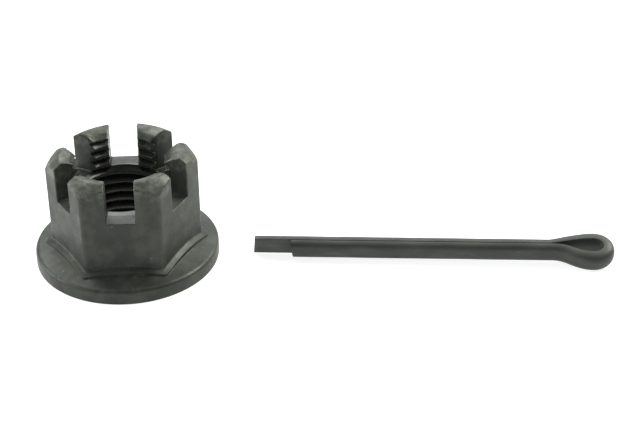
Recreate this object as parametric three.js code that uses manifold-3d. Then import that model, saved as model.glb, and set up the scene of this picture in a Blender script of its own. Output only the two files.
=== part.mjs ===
// Lock hardware for an M14 x 1.5 ball-stud taper joint: a flanged, slotted (castle) nut
// and the split pin that locks it.  Millimetres, +Z up.  The nut stands on its flange and
// the pin lies beside it on the same surface, at z = 0.
import * as THREE from 'three';
import { mergeVertices } from 'three/addons/utils/BufferGeometryUtils.js';
import Module from 'manifold-3d';

const wasm = await Module();
wasm.setup();

// ---- driving dimensions: nut -------------------------------------------------------------
const ACROSS_FLATS = 19;
const CORNER_RADIUS = 0.8; // forging radius on the six upright hexagon edges
const NUT_HEIGHT = 17;
const NUT_X = -28.6; // nut axis, left of the assembly's middle
const TURNED_SEGMENTS = 72;
const HEXAGON_FOOT = 1; // the hexagon's prisms start here, inside the flange

const FLANGE_RADIUS = 13.3;
const FLANGE_RIM_HEIGHT = 2.3; // upright rim of the flange
const FLANGE_EDGE_BREAK = 0.4; // small chamfer on both edges of the rim
const DISH_INNER_RADIUS = 9.2; // where the dished top of the flange meets the hexagon
const DISH_INNER_HEIGHT = 3.45;
const DISH_SAG = 0.12; // how far the dish hollows below a straight cone

const PAD_OFFSET = 0.75; // hexagonal shoulder around the foot of the hexagon
const PAD_CONE_RADIUS = 10.97; // the shoulder's cone passes here...
const PAD_CONE_HEIGHT = 3.15; // ...at this height
const PAD_CONE_SLOPE = 0.53;

const CROWN_TOP_RADIUS = 8.85; // the rounded chamfer meets the top face here...
const CROWN_SIDE_RADIUS = 11.2; // ...and passes outside the hexagon's corners here
const CROWN_DEPTH = 2.8; // height over which the corners are rounded off
const CROWN_BULGE = new THREE.Vector2(0.6, 0.9); // its control point, in from side and top

const SLOT_COUNT = 6;
const SLOT_WIDTH = 4.15;
const SLOT_DEPTH = 6;

const THREAD_MAJOR_RADIUS = 7;
const THREAD_PITCH = 1.5;
const THREAD_DEPTH = 0.5413 * THREAD_PITCH; // ISO metric profile
const THREAD_MINOR_RADIUS = THREAD_MAJOR_RADIUS - THREAD_DEPTH;
const THREAD_STEPS_PER_TURN = 24;
const COUNTERSINK_RADIUS = 7.5; // mouth of the 45 degree countersink at the flange
const LIP_RADIUS = 8.4; // the crown's tops round inwards from here...
const LIP_DEPTH = 1.35; // ...down to the thread, over this height
const LIP_BULGE = new THREE.Vector2(1, 0.12); // its control point, in from the mouth and down

// ---- driving dimensions: split pin ---------------------------------------------------------
const WIRE_HALF_WIDTH = 1.56; // half-round wire, measured square to the loop
const WIRE_THICKNESS = 1.36; // from its flat face to its crown
const SPLIT_GAP = 0.2; // between the flat faces of the two legs
const PIN_LENGTH = 46.6; // short leg's tip to the end of the eye
const LONG_LEG_EXTRA = 5.4; // how far the long leg passes the short one
const EYE_WIDTH = 5.5;
const EYE_NOSE_LENGTH = 3.1; // from the widest part of the eye to its end
const EYE_OFFSET = -0.22; // the eye bulges a little more on the short leg's side
const EYE_TAPER_LENGTH = 5.6; // from the shank to the widest part of the eye
const BEND_FROM_TIP = 18.8; // the legs are bent open here, measured from the short tip
const BEND_CLEARANCE = 0.3;
const EYE_SECTIONS = 64; // steps of the wire's sweep around the eye
const WIRE_SECTION_STEPS = 5; // half the facets on the wire's crown
const QUARTER_ROUND = 0.5523; // handle length of a cubic curve that stands in for a quarter circle

const PIN_TIP = new THREE.Vector3(-4.65, -2.61, 1.64); // middle of the shank at the short tip
const PIN_YAW = THREE.MathUtils.degToRad(-6.6); // direction in which it lies
const PIN_PITCH = THREE.MathUtils.degToRad(-0.6); // the eye lifts the shank a little
const PIN_ROLL = THREE.MathUtils.degToRad(17.5); // it rests on one edge of the eye

// ---- helpers ---------------------------------------------------------------------------------
function toSolid(geometry) {
  const bare = geometry.clone();
  bare.deleteAttribute('normal');
  bare.deleteAttribute('uv');
  const merged = mergeVertices(bare, 1e-4);
  const mesh = new wasm.Mesh({
    numProp: 3,
    vertProperties: new Float32Array(merged.attributes.position.array),
    triVerts: new Uint32Array(merged.index.array),
  });
  return new wasm.Manifold(mesh);
}

function toGeometry(solid) {
  const mesh = solid.getMesh();
  const geometry = new THREE.BufferGeometry();
  geometry.setAttribute('position', new THREE.BufferAttribute(mesh.vertProperties, 3));
  geometry.setIndex(new THREE.BufferAttribute(mesh.triVerts, 1));
  geometry.computeVertexNormals();
  return geometry;
}

// A solid of revolution about +Z from [radius, height] points that start and end on the axis.
function turned(profile, segments = TURNED_SEGMENTS) {
  const points = profile.map(([radius, height]) => new THREE.Vector2(radius, height));
  const geometry = new THREE.LatheGeometry(points, segments);
  geometry.rotateX(Math.PI / 2);
  return toSolid(geometry);
}

// An upright hexagonal prism with two flats facing +Y and -Y and rounded corners.
function hexPrism(acrossFlats) {
  const shape = new THREE.Shape();
  const centreDistance = (acrossFlats / 2 - CORNER_RADIUS) / Math.cos(Math.PI / 6);
  for (let corner = 0; corner < 6; corner += 1) {
    const angle = corner * Math.PI / 3;
    const x = centreDistance * Math.cos(angle);
    const y = centreDistance * Math.sin(angle);
    shape.absarc(x, y, CORNER_RADIUS, angle - Math.PI / 6, angle + Math.PI / 6, false);
  }
  shape.closePath();
  const geometry = new THREE.ExtrudeGeometry(shape, {
    depth: NUT_HEIGHT - HEXAGON_FOOT, bevelEnabled: false, curveSegments: 3,
  });
  geometry.translate(0, 0, HEXAGON_FOOT);
  return toSolid(geometry);
}

// ---- nut -----------------------------------------------------------------------------------
function flange() {
  const profile = [
    [0, 0],
    [FLANGE_RADIUS - FLANGE_EDGE_BREAK, 0],
    [FLANGE_RADIUS, FLANGE_EDGE_BREAK],
    [FLANGE_RADIUS, FLANGE_RIM_HEIGHT - FLANGE_EDGE_BREAK],
  ];
  const outer = new THREE.Vector2(FLANGE_RADIUS - FLANGE_EDGE_BREAK, FLANGE_RIM_HEIGHT);
  const inner = new THREE.Vector2(DISH_INNER_RADIUS, DISH_INNER_HEIGHT);
  const middle = outer.clone().add(inner).multiplyScalar(0.5);
  middle.y -= 2 * DISH_SAG;
  const dish = new THREE.QuadraticBezierCurve(outer, middle, inner);
  dish.getPoints(4).forEach((point) => profile.push([point.x, point.y]));
  profile.push([0, DISH_INNER_HEIGHT]);
  return turned(profile);
}

// A hexagonal step under a cone, so each flat's foot bulges up between its two corners.
function shoulder() {
  const foot = PAD_CONE_RADIUS + PAD_CONE_HEIGHT / PAD_CONE_SLOPE;
  const apex = PAD_CONE_HEIGHT + PAD_CONE_RADIUS * PAD_CONE_SLOPE;
  const cone = turned([[0, 0], [foot, 0], [0, apex]]);
  const hexagon = hexPrism(ACROSS_FLATS + 2 * PAD_OFFSET);
  return hexagon.intersect(cone);
}

function hexagonBody() {
  const shoulderHeight = NUT_HEIGHT - CROWN_DEPTH;
  const crown = new THREE.QuadraticBezierCurve(
    new THREE.Vector2(CROWN_SIDE_RADIUS, shoulderHeight),
    new THREE.Vector2(CROWN_SIDE_RADIUS - CROWN_BULGE.x, NUT_HEIGHT - CROWN_BULGE.y),
    new THREE.Vector2(CROWN_TOP_RADIUS, NUT_HEIGHT),
  );
  const profile = [[0, 0], [CROWN_SIDE_RADIUS, 0]];
  crown.getPoints(5).forEach((point) => profile.push([point.x, point.y]));
  profile.push([0, NUT_HEIGHT]);
  return hexPrism(ACROSS_FLATS).intersect(turned(profile));
}

// The groove of the thread: a trapezium swept along a right-hand helix past both faces.
function threadGroove() {
  const overlap = 0.25;
  const rootHalfWidth = THREAD_PITCH / 16;
  const widening = Math.tan(Math.PI / 6);
  const mouthHalfWidth = rootHalfWidth + (THREAD_DEPTH + overlap) * widening;
  const section = new THREE.Shape([
    new THREE.Vector2(-mouthHalfWidth, THREAD_MINOR_RADIUS - overlap),
    new THREE.Vector2(mouthHalfWidth, THREAD_MINOR_RADIUS - overlap),
    new THREE.Vector2(rootHalfWidth, THREAD_MAJOR_RADIUS),
    new THREE.Vector2(-rootHalfWidth, THREAD_MAJOR_RADIUS),
  ]);
  const turns = Math.ceil(NUT_HEIGHT / THREAD_PITCH) + 2;
  const geometry = new THREE.ExtrudeGeometry(section, {
    depth: turns, steps: turns * THREAD_STEPS_PER_TURN, bevelEnabled: false,
  });
  const position = geometry.attributes.position;
  for (let i = 0; i < position.count; i += 1) {
    const along = position.getX(i);
    const radius = position.getY(i);
    const turn = position.getZ(i);
    const angle = turn * 2 * Math.PI;
    const height = along + (turn - 1) * THREAD_PITCH;
    position.setXYZ(i, radius * Math.cos(angle), radius * Math.sin(angle), height);
  }
  return toSolid(geometry);
}

function bore() {
  const sink = COUNTERSINK_RADIUS - THREAD_MINOR_RADIUS;
  const lip = new THREE.QuadraticBezierCurve(
    new THREE.Vector2(THREAD_MINOR_RADIUS, NUT_HEIGHT - LIP_DEPTH),
    new THREE.Vector2(LIP_RADIUS - LIP_BULGE.x, NUT_HEIGHT - LIP_BULGE.y),
    new THREE.Vector2(LIP_RADIUS, NUT_HEIGHT),
  );
  const profile = [
    [0, -1],
    [COUNTERSINK_RADIUS + 1, -1],
    [THREAD_MINOR_RADIUS, sink],
  ];
  lip.getPoints(3).forEach((point) => profile.push([point.x, point.y]));
  profile.push([LIP_RADIUS, NUT_HEIGHT + 1], [0, NUT_HEIGHT + 1]);
  return turned(profile, 2 * THREAD_STEPS_PER_TURN);
}

// One cutter for the two slots that face each other across the bore.
function slotPair(index) {
  const geometry = new THREE.BoxGeometry(SLOT_WIDTH, 3 * FLANGE_RADIUS, 2 * SLOT_DEPTH);
  geometry.translate(0, 0, NUT_HEIGHT);
  geometry.rotateZ(index * 2 * Math.PI / SLOT_COUNT);
  return toSolid(geometry);
}

function castleNut() {
  let body = flange().add(shoulder()).add(hexagonBody());
  for (let index = 0; index < SLOT_COUNT / 2; index += 1) {
    body = body.subtract(slotPair(index));
  }
  const finished = body.subtract(bore()).subtract(threadGroove());
  const mesh = new THREE.Mesh(toGeometry(finished), new THREE.MeshStandardMaterial({
    color: 0x565a55, roughness: 0.5, metalness: 0.85,
  }));
  mesh.name = 'castle_nut';
  mesh.position.x = NUT_X;
  return mesh;
}

// ---- split pin ---------------------------------------------------------------------------
// In the pin's own frame +X runs from the tips to the eye, Y lies in the plane of the loop,
// and the short leg is on the -Y side.
const pinMaterial = new THREE.MeshStandardMaterial({
  color: 0x4a4e4a, roughness: 0.55, metalness: 0.8,
});

// Half-round section with its flat face on the X axis and its crown towards -Y.
function wireSection() {
  const shape = new THREE.Shape();
  shape.absellipse(0, 0, WIRE_HALF_WIDTH, WIRE_THICKNESS, Math.PI, 2 * Math.PI, false, 0);
  shape.closePath();
  return shape;
}

// The middle line of the wire's flat face, from the short leg around the eye to the long leg.
function eyePath() {
  const half = SPLIT_GAP / 2;
  const widest = PIN_LENGTH - EYE_NOSE_LENGTH;
  const neck = widest - EYE_TAPER_LENGTH;
  const end = PIN_LENGTH - WIRE_THICKNESS;
  const innerRadius = EYE_WIDTH / 2 - WIRE_THICKNESS;
  const low = EYE_OFFSET - innerRadius;
  const high = EYE_OFFSET + innerRadius;
  const handle = EYE_TAPER_LENGTH * 0.45;
  const nose = QUARTER_ROUND * (end - widest);
  const side = QUARTER_ROUND * innerRadius;
  const at = (x, y) => new THREE.Vector3(x, y, 0);
  const line = (from, to) => new THREE.LineCurve3(from, to);
  const bend = (a, b, c, d) => new THREE.CubicBezierCurve3(a, b, c, d);
  const path = new THREE.CurvePath();
  path.add(line(at(BEND_FROM_TIP, -half), at(neck, -half)));
  path.add(bend(at(neck, -half), at(neck + handle, -half), at(widest - handle, low), at(widest, low)));
  path.add(bend(at(widest, low), at(widest + nose, low), at(end, EYE_OFFSET - side), at(end, EYE_OFFSET)));
  path.add(bend(at(end, EYE_OFFSET), at(end, EYE_OFFSET + side), at(widest + nose, high), at(widest, high)));
  path.add(bend(at(widest, high), at(widest - handle, high), at(neck + handle, half), at(neck, half)));
  path.add(line(at(neck, half), at(BEND_FROM_TIP, half)));
  return path;
}

function pinEye() {
  const geometry = new THREE.ExtrudeGeometry(wireSection(), {
    extrudePath: eyePath(), steps: EYE_SECTIONS, curveSegments: WIRE_SECTION_STEPS, bevelEnabled: false,
  });
  const mesh = new THREE.Mesh(toGeometry(toSolid(geometry)), pinMaterial);
  mesh.name = 'pin_eye';
  return mesh;
}

// A straight leg end; side is -1 for the short leg and +1 for the long one.
function pinLeg(name, side, tip) {
  const length = BEND_FROM_TIP - BEND_CLEARANCE - tip;
  const geometry = new THREE.ExtrudeGeometry(wireSection(), {
    depth: length, curveSegments: WIRE_SECTION_STEPS, bevelEnabled: false,
  });
  // The section's x becomes the pin's z, its y stays y, and the extrusion runs along the pin.
  geometry.rotateY(Math.PI / 2);
  if (side > 0) {
    geometry.rotateX(Math.PI);
  }
  geometry.translate(tip, side * SPLIT_GAP / 2, 0);
  const mesh = new THREE.Mesh(toGeometry(toSolid(geometry)), pinMaterial);
  mesh.name = name;
  return mesh;
}

function splitPin() {
  const pin = new THREE.Group();
  pin.add(pinEye());
  pin.add(pinLeg('pin_short_leg', -1, 0));
  pin.add(pinLeg('pin_long_leg', 1, -LONG_LEG_EXTRA));
  pin.position.copy(PIN_TIP);
  pin.rotation.set(PIN_ROLL, PIN_PITCH, PIN_YAW, 'ZYX');
  return pin;
}

const assembly = new THREE.Group();
assembly.add(castleNut());
assembly.add(splitPin());

export default assembly;
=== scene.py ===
"""Looks of a slotted flange nut and its split pin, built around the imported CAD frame."""
import logging
import math
from dataclasses import dataclass, field
from enum import Enum
from typing import Sequence

import bmesh
import bpy
from mathutils import Matrix, Vector, noise


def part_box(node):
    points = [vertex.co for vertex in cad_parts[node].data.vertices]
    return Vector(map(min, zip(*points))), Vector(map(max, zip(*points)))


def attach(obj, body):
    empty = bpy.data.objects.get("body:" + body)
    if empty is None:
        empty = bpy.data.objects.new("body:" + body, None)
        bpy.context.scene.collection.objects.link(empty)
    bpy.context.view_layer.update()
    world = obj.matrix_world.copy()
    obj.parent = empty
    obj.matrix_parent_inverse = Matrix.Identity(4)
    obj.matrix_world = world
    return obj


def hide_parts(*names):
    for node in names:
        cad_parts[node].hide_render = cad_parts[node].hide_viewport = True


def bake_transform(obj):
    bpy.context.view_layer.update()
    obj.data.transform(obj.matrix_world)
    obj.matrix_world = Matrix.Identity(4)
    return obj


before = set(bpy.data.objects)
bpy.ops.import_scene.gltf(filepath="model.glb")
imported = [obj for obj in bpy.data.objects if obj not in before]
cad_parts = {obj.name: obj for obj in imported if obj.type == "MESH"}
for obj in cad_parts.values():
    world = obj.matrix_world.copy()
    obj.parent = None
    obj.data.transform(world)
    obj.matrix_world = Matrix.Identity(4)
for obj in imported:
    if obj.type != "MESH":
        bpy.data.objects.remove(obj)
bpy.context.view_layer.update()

MM = 0.001
LOG = logging.getLogger("lock_hardware")
Colour = tuple[float, float, float, float]
Profile = list[tuple[float, float]]


class Carve(Enum):
    """How one solid is combined with another."""

    JOIN = "UNION"
    CUT = "DIFFERENCE"
    KEEP_SHARED = "INTERSECT"


# ---- solids ---------------------------------------------------------------------------------


def new_piece(name: str, mesh: bmesh.types.BMesh) -> bpy.types.Object:
    """Turn a bmesh into a linked object at the origin.

    Args:
        name: The piece's name.
        mesh: Its shape, which is freed.

    Returns:
        The new object.
    """
    data = bpy.data.meshes.new(name)
    mesh.to_mesh(data)
    mesh.free()
    piece = bpy.data.objects.new(name, data)
    bpy.context.scene.collection.objects.link(piece)
    return piece


def curve_points(start: Vector, handle: Vector, end: Vector, steps: int) -> Profile:
    """Sample a quadratic curve.

    Args:
        start: First point, (radius, height).
        handle: Control point.
        end: Last point.
        steps: How many spans the curve is cut into.

    Returns:
        The points from start to end.
    """
    points = []
    for step in range(steps + 1):
        t = step / steps
        point = (1 - t) ** 2 * start + 2 * t * (1 - t) * handle + t * t * end
        points.append((point.x, point.y))
    return points


def rounded_corner(centre: Vector, radius: float, begin: float, end: float, steps: int) -> Profile:
    """Sample an arc of a turned profile.

    Args:
        centre: Middle of the arc, (radius, height).
        radius: The arc's radius.
        begin: First angle, in degrees.
        end: Last angle, in degrees.
        steps: How many spans the arc is cut into.

    Returns:
        The points from begin to end.
    """
    angles = [math.radians(begin + (end - begin) * step / steps) for step in range(steps + 1)]
    return [(centre.x + radius * math.cos(a), centre.y + radius * math.sin(a)) for a in angles]


def turned(name: str, profile: Profile, steps: int) -> bpy.types.Object:
    """Spin a profile about the Z axis into a closed solid.

    Args:
        name: The piece's name.
        profile: (radius, height) points that start and end on the axis.
        steps: Facets round the axis.

    Returns:
        The solid.
    """
    mesh = bmesh.new()
    verts = [mesh.verts.new((radius, 0.0, height)) for radius, height in profile]
    edges = [mesh.edges.new(pair) for pair in zip(verts, verts[1:])]
    bmesh.ops.spin(
        mesh, geom=verts + edges, cent=(0, 0, 0), axis=(0, 0, 1), dvec=(0, 0, 0),
        angle=math.tau, steps=steps, use_merge=True, use_duplicate=False,
    )
    bmesh.ops.remove_doubles(mesh, verts=mesh.verts, dist=1e-7)
    bmesh.ops.recalc_face_normals(mesh, faces=mesh.faces)
    return new_piece(name, mesh)


def combine(base: bpy.types.Object, tool: bpy.types.Object, how: Carve) -> bpy.types.Object:
    """Join, cut or trim a solid with another, which is used up.

    Args:
        base: The solid that is kept.
        tool: The solid that shapes it.
        how: What the tool does.

    Returns:
        The base, with its new mesh.
    """
    step = base.modifiers.new(tool.name, "BOOLEAN")
    step.object = tool
    step.operation = how.value
    step.solver = "MANIFOLD"
    graph = bpy.context.evaluated_depsgraph_get()
    shaped = bpy.data.meshes.new_from_object(base.evaluated_get(graph))
    base.modifiers.clear()
    old_mesh, tool_mesh = base.data, tool.data
    base.data = shaped
    bpy.data.objects.remove(tool)
    bpy.data.meshes.remove(old_mesh)
    bpy.data.meshes.remove(tool_mesh)
    return base


def smooth_by_angle(piece: bpy.types.Object, degrees: float) -> None:
    """Shade a piece smooth, with a crease at every edge sharper than an angle.

    Args:
        piece: The object to shade.
        degrees: The angle.
    """
    piece.data.polygons.foreach_set("use_smooth", [True] * len(piece.data.polygons))
    piece.data.set_sharp_from_angle(angle=math.radians(degrees))


def dress(piece: bpy.types.Object, material: bpy.types.Material) -> None:
    """Give a piece its one material.

    Args:
        piece: The object to dress.
        material: Its material.
    """
    piece.data.materials.clear()
    piece.data.materials.append(material)


# ---- finishes -------------------------------------------------------------------------------


class NodeBoard:
    """A material's node tree, with short calls to add and join nodes."""

    def __init__(self, name: str) -> None:
        """Start a material of that name with an empty surface."""
        self.material = bpy.data.materials.new(name)
        self.material.use_nodes = True
        self.tree = self.material.node_tree
        self.shader = self.tree.nodes["Principled BSDF"]
        self.place = self.add("ShaderNodeTexCoord").outputs["Object"]

    def height(self) -> bpy.types.NodeSocket:
        """Give the height above the table."""
        split = self.add("ShaderNodeSeparateXYZ")
        self.join(self.place, split.inputs["Vector"])
        return split.outputs["Z"]

    def add(self, kind: str, **values: object) -> bpy.types.ShaderNode:
        """Add a node.

        Args:
            kind: The node's type.
            values: Properties to set on it.

        Returns:
            The node.
        """
        node = self.tree.nodes.new(kind)
        for key, value in values.items():
            setattr(node, key, value)
        return node

    def join(self, source: bpy.types.NodeSocket, target: bpy.types.NodeSocket) -> None:
        """Link an output to an input."""
        self.tree.links.new(source, target)

    def noise(self, size: float, detail: float, place: bpy.types.NodeSocket | None = None,
              roughness: float = 0.55) -> bpy.types.NodeSocket:
        """Add a noise pattern.

        Args:
            size: The pattern's largest feature, in metres.
            detail: Octaves of finer pattern.
            place: Coordinates to read, or None for the object's own.
            roughness: How strong the finer octaves are.

        Returns:
            The pattern's value.
        """
        node = self.add("ShaderNodeTexNoise")
        node.inputs["Scale"].default_value = 1 / size
        node.inputs["Detail"].default_value = detail
        node.inputs["Roughness"].default_value = roughness
        self.join(place or self.place, node.inputs["Vector"])
        return node.outputs["Fac"]

    def spread(self, value: bpy.types.NodeSocket, low: float, high: float,
               to_low: float = 0.0, to_high: float = 1.0) -> bpy.types.NodeSocket:
        """Stretch a value's range smoothly.

        Args:
            value: The value to stretch.
            low: What becomes to_low.
            high: What becomes to_high.
            to_low: The new lowest value.
            to_high: The new highest value.

        Returns:
            The stretched value.
        """
        node = self.add("ShaderNodeMapRange", interpolation_type="SMOOTHSTEP")
        for key, number in zip(("From Min", "From Max", "To Min", "To Max"),
                               (low, high, to_low, to_high)):
            node.inputs[key].default_value = number
        self.join(value, node.inputs["Value"])
        return node.outputs["Result"]

    def maths(self, operation: str, a: bpy.types.NodeSocket,
              b: bpy.types.NodeSocket | float) -> bpy.types.NodeSocket:
        """Combine two values.

        Args:
            operation: Blender's name of the operation.
            a: First value.
            b: Second value.

        Returns:
            The result.
        """
        node = self.add("ShaderNodeMath", operation=operation)
        self.join(a, node.inputs[0])
        if isinstance(b, float):
            node.inputs[1].default_value = b
        else:
            self.join(b, node.inputs[1])
        return node.outputs["Value"]

    def tint(self, amount: bpy.types.NodeSocket, below: bpy.types.NodeSocket | Colour,
             above: Colour) -> bpy.types.NodeSocket:
        """Mix a colour over another.

        Args:
            amount: How much of above shows.
            below: The colour underneath.
            above: The colour on top.

        Returns:
            The mixed colour.
        """
        node = self.add("ShaderNodeMix", data_type="RGBA")
        self.join(amount, node.inputs["Factor"])
        if isinstance(below, tuple):
            node.inputs["A"].default_value = below
        else:
            self.join(below, node.inputs["A"])
        node.inputs["B"].default_value = above
        return node.outputs["Result"]

    def bump(self, height: bpy.types.NodeSocket, depth: float, strength: float,
             normal: bpy.types.NodeSocket | None) -> bpy.types.NodeSocket:
        """Turn a height pattern into a surface normal.

        Args:
            height: The pattern.
            depth: What a height of 1 stands for, in metres.
            strength: How much of the effect shows.
            normal: The normal underneath, or None.

        Returns:
            The new normal.
        """
        node = self.add("ShaderNodeBump")
        node.inputs["Distance"].default_value = depth
        node.inputs["Strength"].default_value = strength
        self.join(height, node.inputs["Height"])
        if normal is not None:
            self.join(normal, node.inputs["Normal"])
        return node.outputs["Normal"]


@dataclass(frozen=True)
class DarkSteel:
    """Steel under a thin dark conversion coat, rubbed lighter where it is handled, with painted
    shade darkening the inside of a bore.
    """

    name: str
    coat: Colour
    thin_coat: Colour
    worn: Colour
    stain: Colour
    # Near-black colour mixed into the bore as painted shade.
    bore_shade_colour: Colour = (0.02, 0.021, 0.02, 1)
    metal: float = 0.35
    specular: float = 0.3
    roughness: float = 0.46
    roughness_swing: float = 0.07
    stretch: float = 1.0
    turn: float = 0.0
    cloud: float = 7.5 * MM
    cloud_depth: float = 0.12 * MM
    blotch: float = 2.6 * MM
    stain_patch: float = 4.2 * MM
    stain_share: float = 0.55
    pit: float = 0.9 * MM
    pit_depth: float = 0.05 * MM
    grain: float = 0.3 * MM
    grain_depth: float = 0.02 * MM
    rub: float = 1.6 * MM
    rub_share: float = 0.5
    rub_polish: float = 0.12
    edge_radius: float = 0.2 * MM
    edge_wear_from: float = 3.4 * MM
    edge_wear_over: float = 1.2 * MM
    bare_patch: float = 1.3 * MM
    bare_from: float | None = None
    bare_over: float = 1.6 * MM
    bare_share: float = 0.36
    # Where the bore's painted shade and extra gloss begin, and how far they fade out.
    shade_and_gloss_inside: float = 7.1 * MM
    shade_and_gloss_over: float = 0.25 * MM
    bore_shade_share: float = 0.2
    oil_gloss: float = 0.2

    def _drawn_place(self, board: NodeBoard) -> bpy.types.NodeSocket:
        """Stretch the pattern's coordinates along the piece.

        Args:
            board: The material's nodes.

        Returns:
            The coordinates.
        """
        along = board.add("ShaderNodeMapping")
        along.inputs["Rotation"].default_value = (0, 0, self.turn)
        along.inputs["Scale"].default_value = (self.stretch, 1, 1)
        board.join(board.place, along.inputs["Vector"])
        return along.outputs["Vector"]

    def _coat_colour(self, board: NodeBoard,
                     drawn: bpy.types.NodeSocket) -> bpy.types.NodeSocket:
        """Mix the coat from its thick, thin and stained parts.

        Args:
            board: The material's nodes.
            drawn: The stretched coordinates.

        Returns:
            The coat's colour.
        """
        thin = board.spread(board.noise(self.blotch, 5, drawn), 0.38, 0.66)
        stained = board.spread(board.noise(self.stain_patch, 4, drawn, 0.7), 0.56, 0.74,
                               0.0, self.stain_share)
        return board.tint(stained, board.tint(thin, self.coat, self.thin_coat), self.stain)

    def _crown_wear(self, board: NodeBoard, pits: bpy.types.NodeSocket,
                    lowest: float) -> bpy.types.NodeSocket:
        """Rub the coat thin in patches above a height.

        Args:
            board: The material's nodes.
            pits: The pit pattern, which makes the wear's lower border ragged.
            lowest: Where the wear begins.

        Returns:
            How far the coat is rubbed.
        """
        ragged = board.spread(pits, 0.3, 0.7, -0.7 * MM, 0.7 * MM)
        height = board.maths("ADD", board.height(), ragged)
        high = board.spread(height, lowest, lowest + self.bare_over, 0.0, self.bare_share)
        patchy = board.spread(board.noise(self.bare_patch, 5, None, 0.65), 0.4, 0.62, 0.1, 1.0)
        return board.maths("MULTIPLY", high, patchy)

    def _edge_wear(self, board: NodeBoard, pits: bpy.types.NodeSocket,
                   ) -> tuple[bpy.types.NodeSocket, bpy.types.NodeSocket]:
        """Find the edges that stand clear of the flange, and soften them.

        Args:
            board: The material's nodes.
            pits: The pit pattern, which breaks the wear up.

        Returns:
            How far the coat is rubbed, and the softened normal.
        """
        soft_edge = board.add("ShaderNodeBevel", samples=6)
        soft_edge.inputs["Radius"].default_value = self.edge_radius
        normal = soft_edge.outputs["Normal"]
        agree = board.add("ShaderNodeVectorMath", operation="DOT_PRODUCT")
        board.join(normal, agree.inputs[0])
        board.join(board.add("ShaderNodeNewGeometry").outputs["Normal"], agree.inputs[1])
        edge = board.spread(agree.outputs["Value"], 0.998, 0.92)
        edge = board.maths("MULTIPLY", edge, board.spread(pits, 0.35, 0.65, 0.15, 0.9))
        exposed = board.spread(board.height(), self.edge_wear_from,
                               self.edge_wear_from + self.edge_wear_over)
        return board.maths("MULTIPLY", edge, exposed), normal

    def _bore_shade_and_gloss(self, board: NodeBoard, bore_axis: Vector) -> bpy.types.NodeSocket:
        """Mark the inside of the bore, where shade is painted into the colour and the surface is
        made glossier.

        Args:
            board: The material's nodes.
            bore_axis: A point on the bore's upright axis.

        Returns:
            1 inside the bore, 0 outside.
        """
        away = board.add("ShaderNodeVectorMath", operation="MULTIPLY_ADD")
        board.join(board.place, away.inputs[0])
        away.inputs[1].default_value = (1, 1, 0)
        away.inputs[2].default_value = (-bore_axis.x, -bore_axis.y, 0)
        radius = board.add("ShaderNodeVectorMath", operation="LENGTH")
        board.join(away.outputs["Vector"], radius.inputs[0])
        return board.spread(radius.outputs["Value"], self.shade_and_gloss_inside + self.shade_and_gloss_over,
                            self.shade_and_gloss_inside)

    def _dullness(self, board: NodeBoard, clouds: bpy.types.NodeSocket,
                  grain: bpy.types.NodeSocket,
                  rubbed: bpy.types.NodeSocket) -> bpy.types.NodeSocket:
        """Vary the roughness in clouds and grain, and polish it where it is rubbed.

        Args:
            board: The material's nodes.
            clouds: The cloud pattern.
            grain: The grain pattern.
            rubbed: How far the coat is rubbed.

        Returns:
            The roughness.
        """
        dull = board.spread(clouds, 0.3, 0.7, self.roughness - self.roughness_swing,
                            self.roughness + self.roughness_swing)
        polish = board.maths("MULTIPLY", rubbed, self.rub_polish)
        dull = board.maths("SUBTRACT", dull, polish)
        return board.maths("ADD", dull, board.spread(grain, 0.3, 0.7, -0.05, 0.05))

    def material(self, bore_axis: Vector | None = None) -> bpy.types.Material:
        """Build the finish's material.

        Args:
            bore_axis: A point on the axis of a bore that gets painted shade and extra gloss, or
                None where there is none.

        Returns:
            The material.
        """
        board = NodeBoard(self.name)
        drawn = self._drawn_place(board)
        clouds = board.noise(self.cloud, 3)
        grain = board.noise(self.grain, 3, drawn, 0.6)
        pits = board.noise(self.pit, 4, drawn, 0.65)

        normal = None
        rubbed = board.spread(board.noise(self.rub, 6, drawn, 0.7), 0.6, 0.74,
                              0.0, self.rub_share)
        if self.bare_from is not None:
            crown = self._crown_wear(board, pits, self.bare_from)
            rubbed = board.maths("MAXIMUM", rubbed, crown)
        if self.edge_radius:
            edge, normal = self._edge_wear(board, pits)
            rubbed = board.maths("MAXIMUM", rubbed, edge)
        colour = board.tint(rubbed, self._coat_colour(board, drawn), self.worn)
        dull = self._dullness(board, clouds, grain, rubbed)
        if bore_axis is not None:
            # Painted shade: the bore's colour is darkened towards a near-black, and its roughness
            # is lowered for gloss.
            in_bore = self._bore_shade_and_gloss(board, bore_axis)
            shade = board.maths("MULTIPLY", in_bore, self.bore_shade_share)
            colour = board.tint(shade, colour, self.bore_shade_colour)
            gloss = board.maths("MULTIPLY", in_bore, self.oil_gloss)
            dull = board.maths("SUBTRACT", dull, gloss)
        board.join(colour, board.shader.inputs["Base Color"])
        board.join(dull, board.shader.inputs["Roughness"])

        for pattern, depth, strength in (
            (clouds, self.cloud_depth, 0.5), (pits, self.pit_depth, 0.35),
            (grain, self.grain_depth, 0.5),
        ):
            normal = board.bump(pattern, depth, strength, normal)
        board.join(normal, board.shader.inputs["Normal"])
        board.shader.inputs["Metallic"].default_value = self.metal
        board.shader.inputs["Specular IOR Level"].default_value = self.specular
        return board.material


# ---- nut ------------------------------------------------------------------------------------


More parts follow.
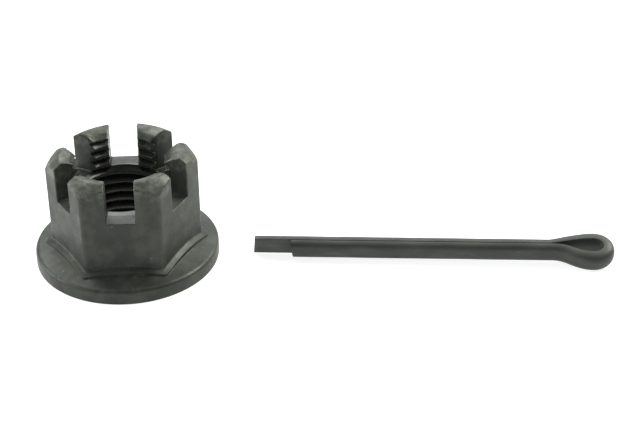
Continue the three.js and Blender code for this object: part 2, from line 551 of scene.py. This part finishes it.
@dataclass
class CastleNut:
    """Flanged hexagon nut with six slots and an M14 x 1.5 thread, standing on its flange."""

    node: str = "castle_nut"
    body: str = "nut"
    across_flats: float = 19 * MM
    corner_radius: float = 0.8 * MM
    corner_steps: int = 6
    rim_height: float = 2.3 * MM
    rim_rounding: float = 0.6 * MM
    base_rounding: float = 0.21 * MM
    dish_inner: Vector = field(default_factory=lambda: Vector((9.2, 3.45)) * MM)
    dish_sag: float = 0.12 * MM
    hexagon_foot: float = 1 * MM
    pad_offset: float = 0.75 * MM
    pad_cone: Vector = field(default_factory=lambda: Vector((10.97, 3.15)) * MM)
    pad_slope: float = 0.53
    crown_top: float = 8.6 * MM
    crown_side: Vector = field(default_factory=lambda: Vector((11.2, 14.2)) * MM)
    crown_bulge: Vector = field(default_factory=lambda: Vector((10.55, 16.1)) * MM)
    crown_steps: int = 12
    crown_runout: Vector = field(default_factory=lambda: Vector((0.1, 0, 0)) * MM)
    lip_radius: float = 8.75 * MM
    lip_depth: float = 1.35 * MM
    lip_steps: int = 8
    lip_bulge: Vector = field(default_factory=lambda: Vector((7.4, 16.9)) * MM)
    slots: int = 6
    slot_width: float = 4.15 * MM
    slot_depth: float = 6 * MM
    slot_fillet: float = 0.2 * MM
    edge_break: float = 0.16 * MM
    sharp_edge: float = math.radians(50)
    foot_fillet: float = 0.16 * MM
    foot_edge: float = math.radians(12)
    foot_levels: tuple[float, float] = (3.12 * MM, 4.2 * MM)
    smooth_below: float = 40.0
    thread_radius: float = 7 * MM
    thread_pitch: float = 1.5 * MM
    thread_steps: int = 60
    sink_radius: float = 7.5 * MM
    round_steps: int = 192

    def __post_init__(self) -> None:
        """Read the nut's place and outer sizes from the CAD frame."""
        low, high = (Vector(corner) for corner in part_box(self.node))
        self.axis = Vector(((low.x + high.x) / 2, (low.y + high.y) / 2, 0))
        self.flange_radius = (high.x - low.x) / 2
        self.height = high.z
        self.thread_depth = 0.5413 * self.thread_pitch
        self.bore_radius = self.thread_radius - self.thread_depth

    def _flange(self) -> bpy.types.Object:
        """Turn the flange, with a rounded rim and a dished top."""
        reach = self.flange_radius - self.rim_rounding
        top = self.rim_height - self.rim_rounding
        foot = Vector((self.flange_radius - self.base_rounding, self.base_rounding))
        profile: Profile = [(0.0, 0.0)]
        profile += rounded_corner(foot, self.base_rounding, -90, 0, 5)
        profile += rounded_corner(Vector((reach, top)), self.rim_rounding, 0, 72, 6)
        start = Vector(profile[-1])
        handle = (start + self.dish_inner) / 2 - Vector((0, 2 * self.dish_sag))
        profile += curve_points(start, handle, self.dish_inner, 14)[1:]
        profile.append((0.0, self.dish_inner.y))
        return turned("flange", profile, self.round_steps)

    def _hexagon(self, name: str, across_flats: float) -> bpy.types.Object:
        """Extrude a hexagonal bar with rounded corners and flats facing +Y and -Y.

        Args:
            name: The piece's name.
            across_flats: Its spanner size.

        Returns:
            The bar, up to the nut's full height.
        """
        mesh = bmesh.new()
        turn = Matrix.Rotation(math.radians(30), 4, "Z")
        place = Matrix.Translation((0, 0, self.hexagon_foot)) @ turn
        radius = across_flats / 2 / math.cos(math.pi / 6)
        bmesh.ops.create_circle(mesh, cap_ends=True, segments=6, radius=radius, matrix=place)
        raised = bmesh.ops.extrude_face_region(mesh, geom=mesh.faces[:])["geom"]
        top = [item for item in raised if isinstance(item, bmesh.types.BMVert)]
        bmesh.ops.translate(mesh, vec=(0, 0, self.height - self.hexagon_foot), verts=top)
        bmesh.ops.recalc_face_normals(mesh, faces=mesh.faces)
        upright = [e for e in mesh.edges if abs(e.verts[0].co.z - e.verts[1].co.z) > MM]
        bmesh.ops.bevel(
            mesh, geom=upright, offset=self.corner_radius * math.tan(math.pi / 6),
            offset_type="OFFSET", segments=self.corner_steps, profile=0.5, affect="EDGES",
            clamp_overlap=True, material=-1,
        )
        return new_piece(name, mesh)

    def _shoulder(self) -> bpy.types.Object:
        """Build the hexagonal step at the hexagon's foot, trimmed by a cone."""
        radius, height = self.pad_cone
        foot = radius + height / self.pad_slope
        apex = height + radius * self.pad_slope
        cone = turned("cone", [(0, 0), (foot, 0), (0, apex)], self.round_steps)
        step = self._hexagon("shoulder", self.across_flats + 2 * self.pad_offset)
        return combine(step, cone, Carve.KEEP_SHARED)

    def _crowned_hexagon(self) -> bpy.types.Object:
        """Build the hexagon under its crown, which was turned a hair off centre."""
        top = Vector((self.crown_top, self.height))
        profile: Profile = [(0, 0), (self.crown_side.x, 0)]
        profile += curve_points(self.crown_side, self.crown_bulge, top, self.crown_steps)
        profile.append((0, self.height))
        crown = turned("crown", profile, self.round_steps // 2)
        crown.data.transform(Matrix.Translation(self.crown_runout))
        return combine(self._hexagon("hexagon", self.across_flats), crown, Carve.KEEP_SHARED)

    def _slot_pair(self, index: int) -> bpy.types.Object:
        """Make the cutter of two slots that face each other, with filleted floors.

        Args:
            index: Which pair, from 0.

        Returns:
            The cutter.
        """
        mesh = bmesh.new()
        size = Matrix.Diagonal((self.slot_width, 3 * self.flange_radius, 2 * self.slot_depth, 1))
        turn = Matrix.Rotation(index * math.tau / self.slots, 4, "Z")
        lift = Matrix.Translation((0, 0, self.height))
        bmesh.ops.create_cube(mesh, size=1, matrix=turn @ lift @ size)
        floor = self.height - self.slot_depth
        long_edges = [
            e for e in mesh.edges
            if e.calc_length() > 2 * self.flange_radius
            and all(abs(v.co.z - floor) < 0.01 * MM for v in e.verts)
        ]
        bmesh.ops.bevel(
            mesh, geom=long_edges, offset=self.slot_fillet, offset_type="OFFSET", segments=3,
            profile=0.5, affect="EDGES", clamp_overlap=True, material=-1,
        )
        return new_piece("slot_pair", mesh)

    def _bore(self) -> bpy.types.Object:
        """Turn the cutter of the bore, its countersink and the rounded lip at its top."""
        sink = self.sink_radius - self.bore_radius
        past = 1 * MM
        profile: Profile = [(0, -past), (self.sink_radius + past, -past), (self.bore_radius, sink)]
        profile += curve_points(
            Vector((self.bore_radius, self.height - self.lip_depth)), self.lip_bulge,
            Vector((self.lip_radius, self.height)), self.lip_steps,
        )
        profile += [(self.lip_radius, self.height + past), (0, self.height + past)]
        return turned("bore", profile, self.round_steps // 2)

    def _thread(self) -> bpy.types.Object:
        """Spin the thread's groove along a right-hand helix, past both faces."""
        overlap = 0.2 * MM
        root = self.thread_pitch / 12
        mouth = root + (self.thread_depth + overlap) * math.tan(math.pi / 6)
        inner = self.bore_radius - overlap
        soft = 0.12 * MM
        section = [
            (inner, -mouth), (self.thread_radius - soft, -root), (self.thread_radius, 0),
            (self.thread_radius - soft, root), (inner, mouth),
        ]
        turns = math.ceil(self.height / self.thread_pitch) + 2
        steps = turns * self.thread_steps
        mesh = bmesh.new()
        verts = [mesh.verts.new((r, 0, z - self.thread_pitch)) for r, z in section]
        face = mesh.faces.new(verts)
        bmesh.ops.spin(
            mesh, geom=[*verts, *mesh.edges, face], cent=(0, 0, 0), axis=(0, 0, 1),
            dvec=(0, 0, self.thread_pitch / self.thread_steps), angle=turns * math.tau,
            steps=steps, use_merge=False, use_duplicate=False,
        )
        loose = [e for e in mesh.edges if e.is_boundary]
        bmesh.ops.holes_fill(mesh, edges=loose, sides=len(section))
        bmesh.ops.recalc_face_normals(mesh, faces=mesh.faces)
        return new_piece("thread", mesh)

    def _break_edges(self, piece: bpy.types.Object) -> None:
        """Round the nut's outer edges and fillet the foot of its hexagon.

        Args:
            piece: The nut before its thread is cut.
        """
        mesh = bmesh.new()
        mesh.from_mesh(piece.data)
        bmesh.ops.remove_doubles(mesh, verts=mesh.verts, dist=0.004 * MM)
        bmesh.ops.dissolve_degenerate(mesh, dist=0.03 * MM, edges=mesh.edges)
        bmesh.ops.dissolve_limit(
            mesh, angle_limit=math.radians(0.4), use_dissolve_boundaries=False,
            verts=mesh.verts, edges=mesh.edges, delimit={"NORMAL"},
        )
        outer = self.bore_radius + 0.2 * MM
        low, high = self.foot_levels

        def wanted(edge: bmesh.types.BMEdge, concave: bool) -> bool:
            """Say if an edge is sharp, outside the bore and bent the way asked for."""
            middle = (edge.verts[0].co + edge.verts[1].co) / 2
            if middle.xy.length < outer:
                return False
            bend = edge.calc_face_angle_signed()
            if concave:
                return low < middle.z < high and bend < -self.foot_edge
            return middle.z > high and bend > self.sharp_edge

        for concave, width, steps in ((False, self.edge_break, 2), (True, self.foot_fillet, 3)):
            chosen = [e for e in mesh.edges if e.is_manifold and wanted(e, concave)]
            bmesh.ops.bevel(
                mesh, geom=chosen, offset=width, offset_type="OFFSET", segments=steps,
                profile=0.5, affect="EDGES", clamp_overlap=False, material=-1,
            )
        bmesh.ops.remove_doubles(mesh, verts=mesh.verts, dist=0.003 * MM)
        mesh.to_mesh(piece.data)
        mesh.free()

    def build(self) -> bpy.types.Object:
        """Build the nut and put it on its axis.

        Returns:
            The finished nut, in place of its CAD node.
        """
        nut = combine(self._flange(), self._shoulder(), Carve.JOIN)
        nut = combine(nut, self._crowned_hexagon(), Carve.JOIN)
        for index in range(self.slots // 2):
            nut = combine(nut, self._slot_pair(index), Carve.CUT)
        nut = combine(nut, self._bore(), Carve.CUT)
        self._break_edges(nut)
        nut = combine(nut, self._thread(), Carve.CUT)
        nut.name = "slotted_flange_nut"
        nut.data.transform(Matrix.Translation(self.axis))
        smooth_by_angle(nut, self.smooth_below)
        even = nut.modifiers.new("even_shading", "WEIGHTED_NORMAL")
        even.keep_sharp = True
        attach(nut, self.body)
        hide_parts(self.node)
        return nut


# ---- split pin ------------------------------------------------------------------------------


class Leg(Enum):
    """The two legs of the pin, by the side of the split that they lie on."""

    SHORT = -1
    LONG = 1


@dataclass
class SplitPin:
    """One half-round wire folded into an eye and two straight legs, whose sections crowd near the
    legs' middle.
    """

    tip: Vector = field(default_factory=lambda: Vector((-4.65, -2.61, 1.64)) * MM)
    yaw: float = math.radians(-6.6)
    pitch: float = math.radians(-0.6)
    roll: float = math.radians(17.5)
    length: float = 46.55 * MM
    long_leg_extra: float = 5.55 * MM
    half_width: float = 1.56 * MM
    leg_thickness: float = 1.24 * MM
    eye_thickness: float = 1.6 * MM
    eye_half_width: float = 1.57 * MM
    fullness: float = 2.7
    tip_gap: float = 0.02 * MM
    neck_gap: float = 0.012 * MM
    cut_slant: float = 0.1
    eye_width: float = 5.56 * MM
    eye_nose: float = 3.1 * MM
    eye_offset: float = -0.22 * MM
    eye_taper: float = 5.6 * MM
    eye_ease: float = 0.45
    far_lead: float = 0.8 * MM
    bend: float = 18.65 * MM
    bend_reach: float = 1.7 * MM
    seam: float = 24 * MM
    section_steps: int = 32
    calm_sections: int = 14
    bend_sections: int = 36
    shank_sections: int = 10
    eye_sections: int = 18
    section_rounding: float = 0.07 * MM
    tip_rounding: float = 0.1 * MM
    unevenness: float = 0.02 * MM
    unevenness_size: float = 4 * MM
    unevenness_shifts: tuple[Vector, ...] = (
        Vector((0.0, 0.0, 0.0)), Vector((9.3, 1.5, 8.1)), Vector((3.7, 6.4, 2.6)),
    )
    smooth_below: float = 40.0

    def __post_init__(self) -> None:
        """Work out the pin's place and the landmarks of its eye."""
        self.place = (
            Matrix.Translation(self.tip)
            @ Matrix.Rotation(self.yaw, 4, "Z")
            @ Matrix.Rotation(self.pitch, 4, "Y")
            @ Matrix.Rotation(self.roll, 4, "X")
        )
        self.widest = self.length - self.eye_nose
        self.neck = self.widest - self.eye_taper

    def _section(self) -> bmesh.types.BMesh:
        """Cut the wire's section out of a circle, a half round that is a little boxy.

        Returns:
            One face, crown towards +X and flat on the Y axis.
        """
        mesh = bmesh.new()
        bmesh.ops.create_circle(mesh, cap_ends=True, segments=2 * self.section_steps, radius=1)
        everything = [*mesh.verts, *mesh.edges, *mesh.faces]
        bmesh.ops.bisect_plane(
            mesh, geom=everything, dist=1e-6, plane_co=(0, 0, 0), plane_no=(-1, 0, 0),
            clear_outer=True,
        )
        for vert in mesh.verts:
            reach = sum(abs(c) ** self.fullness for c in vert.co.xy)
            if reach > 0.01:
                vert.co *= reach ** (-1 / self.fullness)
        corners = [v for v in mesh.verts if abs(v.co.x) < 1e-4 and abs(v.co.y) > 0.99]
        bmesh.ops.scale(mesh, vec=(self.leg_thickness, self.half_width, 1), verts=mesh.verts)
        bmesh.ops.bevel(
            mesh, geom=corners, offset=self.section_rounding, offset_type="OFFSET", segments=3,
            profile=0.5, affect="VERTICES", clamp_overlap=True, material=-1,
        )
        return mesh

    def _gap(self, along: float) -> float:
        """Give half the split at a distance from the short leg's tip."""
        share = min(max(along / self.neck, 0.0), 1.0)
        return self.tip_gap + (self.neck_gap - self.tip_gap) * share

    def _station(self, along: float, across: float, heading: float,
                 swell: float = 0.0) -> Matrix:
        """Place the wire's section on the middle line of its flat face.

        Args:
            along: Distance from the short leg's tip.
            across: Distance from the split's middle.
            heading: Direction of travel in the plane of the loop, 0 towards the eye.
            swell: How far the wire has grown from its size in the legs to that in the eye.

        Returns:
            The transform from the section's own frame to the pin's.
        """
        outward = Vector((math.sin(heading), -math.cos(heading), 0))
        travel = Vector((math.cos(heading), math.sin(heading), 0))
        up = travel.cross(outward)
        frame_axes = Matrix((outward, up, travel)).transposed().to_4x4()
        deeper = 1 + swell * (self.eye_thickness / self.leg_thickness - 1)
        wider = 1 + swell * (self.eye_half_width / self.half_width - 1)
        grow = Matrix.Diagonal((deeper, wider, 1, 1))
        return Matrix.Translation((along, across, 0)) @ frame_axes @ grow

    def _leg_stations(self, leg: Leg) -> list[Matrix]:
        """List a leg's sections from its tip to the seam by the eye.

        Args:
            leg: Which leg.

        Returns:
            The sections' transforms.
        """
        start = -self.long_leg_extra if leg is Leg.LONG else 0.0
        calm, busy = self.calm_sections, self.bend_sections
        near, far = self.bend - 2 * self.bend_reach, self.bend + 2 * self.bend_reach
        places = [start + (near - start) * i / calm for i in range(calm)]
        places += [near + (far - near) * i / busy for i in range(busy)]
        places += [far + (self.seam - far) * i / 3 for i in range(4)]
        heading = 0.0 if leg is Leg.SHORT else math.pi
        stations = [self._station(x, leg.value * self._gap(x), heading) for x in places]
        slant = Matrix.Identity(4)
        slant[0][2] = leg.value * self.cut_slant
        stations[0] = slant @ stations[0]
        return stations

    def _eye_line(self, steps: int) -> list[Vector]:
        """Trace the flat face's middle line from one neck round the eye to the other.

        Args:
            steps: Spans in each of the line's four curves.

        Returns:
            The points, in the plane of the loop.
        """
        gap = self._gap(self.neck)
        inner = self.eye_width / 2 - self.eye_thickness
        end = self.length - self.eye_thickness
        low, high = self.eye_offset - inner, self.eye_offset + inner
        handle = self.eye_ease * self.eye_taper
        quarter = 4 / 3 * math.tan(math.pi / 8)
        nose, side = quarter * (end - self.widest), quarter * inner
        middle = self.eye_offset
        near_neck = Vector((self.neck, -gap))
        far_neck = Vector((self.neck - self.far_lead, gap))
        curves = (
            (near_neck, near_neck + Vector((handle, 0)),
             Vector((self.widest - handle, low)), Vector((self.widest, low))),
            (Vector((self.widest, low)), Vector((self.widest + nose, low)),
             Vector((end, middle - side)), Vector((end, middle))),
            (Vector((end, middle)), Vector((end, middle + side)),
             Vector((self.widest + nose, high)), Vector((self.widest, high))),
            (Vector((self.widest, high)), Vector((self.widest - handle, high)),
             far_neck + Vector((self.far_lead, 0)), far_neck),
        )
        line = [near_neck]
        for a, b, c, d in curves:
            for step in range(1, steps + 1):
                t = step / steps
                s = 1 - t
                line.append(s**3 * a + 3 * s * s * t * b + 3 * s * t * t * c + t**3 * d)
        return line

    def _eye_stations(self) -> list[Matrix]:
        """List the eye's sections from the short leg's seam round to the long leg's."""
        stations = []
        straight = self.shank_sections
        near_run = self.neck - self.seam
        for i in range(straight):
            x = self.seam + near_run * i / straight
            stations.append(self._station(x, -self._gap(x), 0.0))
        line = self._eye_line(self.eye_sections)
        for index, point in enumerate(line):
            before = line[max(index - 1, 0)]
            after = line[min(index + 1, len(line) - 1)]
            travel = after - before
            swell = min(max((point.x - self.neck) / self.eye_taper, 0.0), 1.0)
            heading = math.atan2(travel.y, travel.x)
            if index in (0, len(line) - 1):
                heading = 0.0 if index == 0 else math.pi
            stations.append(self._station(point.x, point.y, heading, swell))
        far_run = near_run - self.far_lead
        for i in reversed(range(straight)):
            x = self.seam + far_run * i / straight
            stations.append(self._station(x, self._gap(x), math.pi))
        return stations

    def _sweep(self, name: str, stations: Sequence[Matrix], tip_first: bool) -> bpy.types.Object:
        """Extrude the wire's section through its stations.

        Args:
            name: The piece's name.
            stations: Where the section goes, in order.
            tip_first: True if the first section is a cut end, whose edge is rounded.

        Returns:
            The closed piece, in its place.
        """
        mesh = self._section()
        face = mesh.faces[:][0]
        last = Matrix.Identity(4)
        for station in stations:
            if station is not stations[0]:
                made = bmesh.ops.extrude_face_region(mesh, geom=[face], use_keep_orig=True)
                face = next(i for i in made["geom"] if isinstance(i, bmesh.types.BMFace))
            bmesh.ops.transform(mesh, matrix=station @ last.inverted(), verts=face.verts)
            last = station
        inner = [f for f in mesh.faces if len(f.verts) > 4 and all(
            len(e.link_faces) > 2 for e in f.edges)]
        bmesh.ops.delete(mesh, geom=inner, context="FACES_ONLY")
        bmesh.ops.recalc_face_normals(mesh, faces=mesh.faces)
        if tip_first:
            tip = min((f for f in mesh.faces if len(f.verts) > 4),
                      key=lambda f: f.calc_center_median().x)
            bmesh.ops.bevel(
                mesh, geom=tip.edges[:], offset=self.tip_rounding, offset_type="OFFSET",
                segments=3, profile=0.5, affect="EDGES", clamp_overlap=True, material=-1,
            )
        bmesh.ops.transform(mesh, matrix=self.place, verts=mesh.verts)
        for vert in mesh.verts:
            spot = vert.co / self.unevenness_size
            push = Vector([noise.noise(spot + shift) for shift in self.unevenness_shifts])
            vert.co += self.unevenness * push
        piece = new_piece(name, mesh)
        smooth_by_angle(piece, self.smooth_below)
        return piece

    def build(self) -> list[bpy.types.Object]:
        """Build the eye and both legs.

        Returns:
            The three pieces of the wire.
        """
        eye = self._sweep("split_pin_eye", self._eye_stations(), False)
        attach(eye, "pin")
        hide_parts("pin_eye")
        pieces = [eye]
        for leg, body, node in ((Leg.SHORT, "short_leg", "pin_short_leg"),
                                (Leg.LONG, "long_leg", "pin_long_leg")):
            piece = self._sweep("split_" + node, self._leg_stations(leg), True)
            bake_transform(piece)
            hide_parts(node)
            pieces.append(piece)
        return pieces


# ---- studio ---------------------------------------------------------------------------------


@dataclass(frozen=True)
class Softbox:
    """One soft panel light."""

    name: str
    place: Vector
    width: float
    depth: float
    power: float
    tint: tuple[float, float, float] = (1.0, 1.0, 1.0)


@dataclass
class Studio:
    """A pale table, soft panels and the camera."""

    target: Vector = field(default_factory=lambda: Vector((0.1, 8.8, 0)) * MM)
    azimuth: float = math.radians(3.27)
    elevation: float = math.radians(32.24)
    tilt: float = math.radians(-0.56)
    distance: float = 256.4 * MM
    lens: float = 94.84
    table_size: float = 3.0
    world_strength: float = 0.27
    table_glow: float = 0.85
    panels: tuple[Softbox, ...] = (
        Softbox("right_panel", Vector((0.62, 0.3, 0.62)), 0.6, 0.6, 13.0, (1.0, 0.99, 0.93)),
        Softbox("left_panel", Vector((-0.9, 0.1, 0.34)), 0.6, 0.4, 8.0, (0.98, 1.0, 1.0)),
        Softbox("back_panel", Vector((0.0, 1.0, 0.66)), 1.1, 0.4, 6.5, (0.96, 0.98, 1.0)),
        Softbox("high_panel", Vector((-0.4, 0.5, 0.9)), 0.6, 0.5, 7.5, (0.98, 1.0, 0.97)),
    )

    def _table(self) -> None:
        """Lay the pale table under the hardware."""
        mesh = bmesh.new()
        bmesh.ops.create_grid(mesh, x_segments=1, y_segments=1, size=self.table_size / 2)
        table = new_piece("table", mesh)
        board = NodeBoard("table_paper")
        fleck = board.spread(board.noise(6 * MM, 3), 0.3, 0.7)
        pale, paler = (0.38, 0.38, 0.38, 1.0), (0.4, 0.4, 0.4, 1.0)
        board.join(board.tint(fleck, pale, paler), board.shader.inputs["Base Color"])
        board.shader.inputs["Roughness"].default_value = 0.9
        board.shader.inputs["Emission Color"].default_value = (1.0, 1.0, 1.0, 1.0)
        board.shader.inputs["Emission Strength"].default_value = self.table_glow
        dress(table, board.material)

    def _light(self, panel: Softbox) -> None:
        """Hang one panel, facing the hardware.

        Args:
            panel: Its place, size and power.
        """
        data = bpy.data.lights.new(panel.name, "AREA")
        data.shape = "RECTANGLE"
        data.size, data.size_y = panel.width, panel.depth
        data.energy = panel.power
        data.color = panel.tint
        lamp = bpy.data.objects.new(panel.name, data)
        lamp.location = panel.place
        lamp.rotation_euler = (-panel.place).to_track_quat("-Z", "Y").to_euler()
        bpy.context.scene.collection.objects.link(lamp)

    def _camera(self) -> None:
        """Stand the camera at its viewing angle."""
        level = math.cos(self.elevation)
        forward = Vector((level * math.sin(self.azimuth), level * math.cos(self.azimuth),
                          -math.sin(self.elevation)))
        data = bpy.data.cameras.new("camera")
        data.lens = self.lens
        data.clip_start, data.clip_end = 0.01, 20
        camera = bpy.data.objects.new("camera", data)
        turn = forward.to_track_quat("-Z", "Y").to_matrix().to_4x4()
        place = Matrix.Translation(self.target - self.distance * forward)
        camera.matrix_world = place @ turn @ Matrix.Rotation(self.tilt, 4, "Z")
        bpy.context.scene.collection.objects.link(camera)
        bpy.context.scene.camera = camera

    def build(self) -> None:
        """Set the table, the lights, the sky and the camera."""
        world = bpy.data.worlds.new("sky")
        world.use_nodes = True
        sky = world.node_tree.nodes["Background"]
        sky.inputs["Color"].default_value = (0.95, 0.98, 1.0, 1.0)
        sky.inputs["Strength"].default_value = self.world_strength
        bpy.context.scene.world = world
        bpy.context.scene.view_settings.view_transform = "Standard"
        self._table()
        for panel in self.panels:
            self._light(panel)
        self._camera()


NUT_FINISH = DarkSteel(
    name="phosphate_forging",
    coat=(0.03, 0.034, 0.0277, 1), thin_coat=(0.049, 0.054, 0.0438, 1),
    worn=(0.152, 0.16, 0.128, 1), stain=(0.05, 0.038, 0.026, 1),
    bare_from=14.0 * MM,
)
WIRE_FINISH = DarkSteel(
    name="oxide_wire",
    coat=(0.042, 0.0455, 0.041, 1), thin_coat=(0.059, 0.064, 0.057, 1),
    worn=(0.115, 0.118, 0.1, 1), stain=(0.056, 0.044, 0.036, 1),
    roughness=0.5, edge_radius=0.0, grain=0.22 * MM, stretch=0.3,
    turn=math.radians(6.6),
)


def main() -> None:
    """Build the studio and every piece, and report each one."""
    logging.basicConfig(level=logging.INFO, format="%(name)s: %(message)s")
    Studio().build()
    castle_nut = CastleNut()
    nut = castle_nut.build()
    dress(nut, NUT_FINISH.material(castle_nut.axis))
    wire = WIRE_FINISH.material()
    pieces = SplitPin().build()
    for piece in pieces:
        dress(piece, wire)
    for piece in (nut, *pieces):
        LOG.info("%s: %d faces", piece.name, len(piece.data.polygons))


if __name__ == "__main__":
    main()
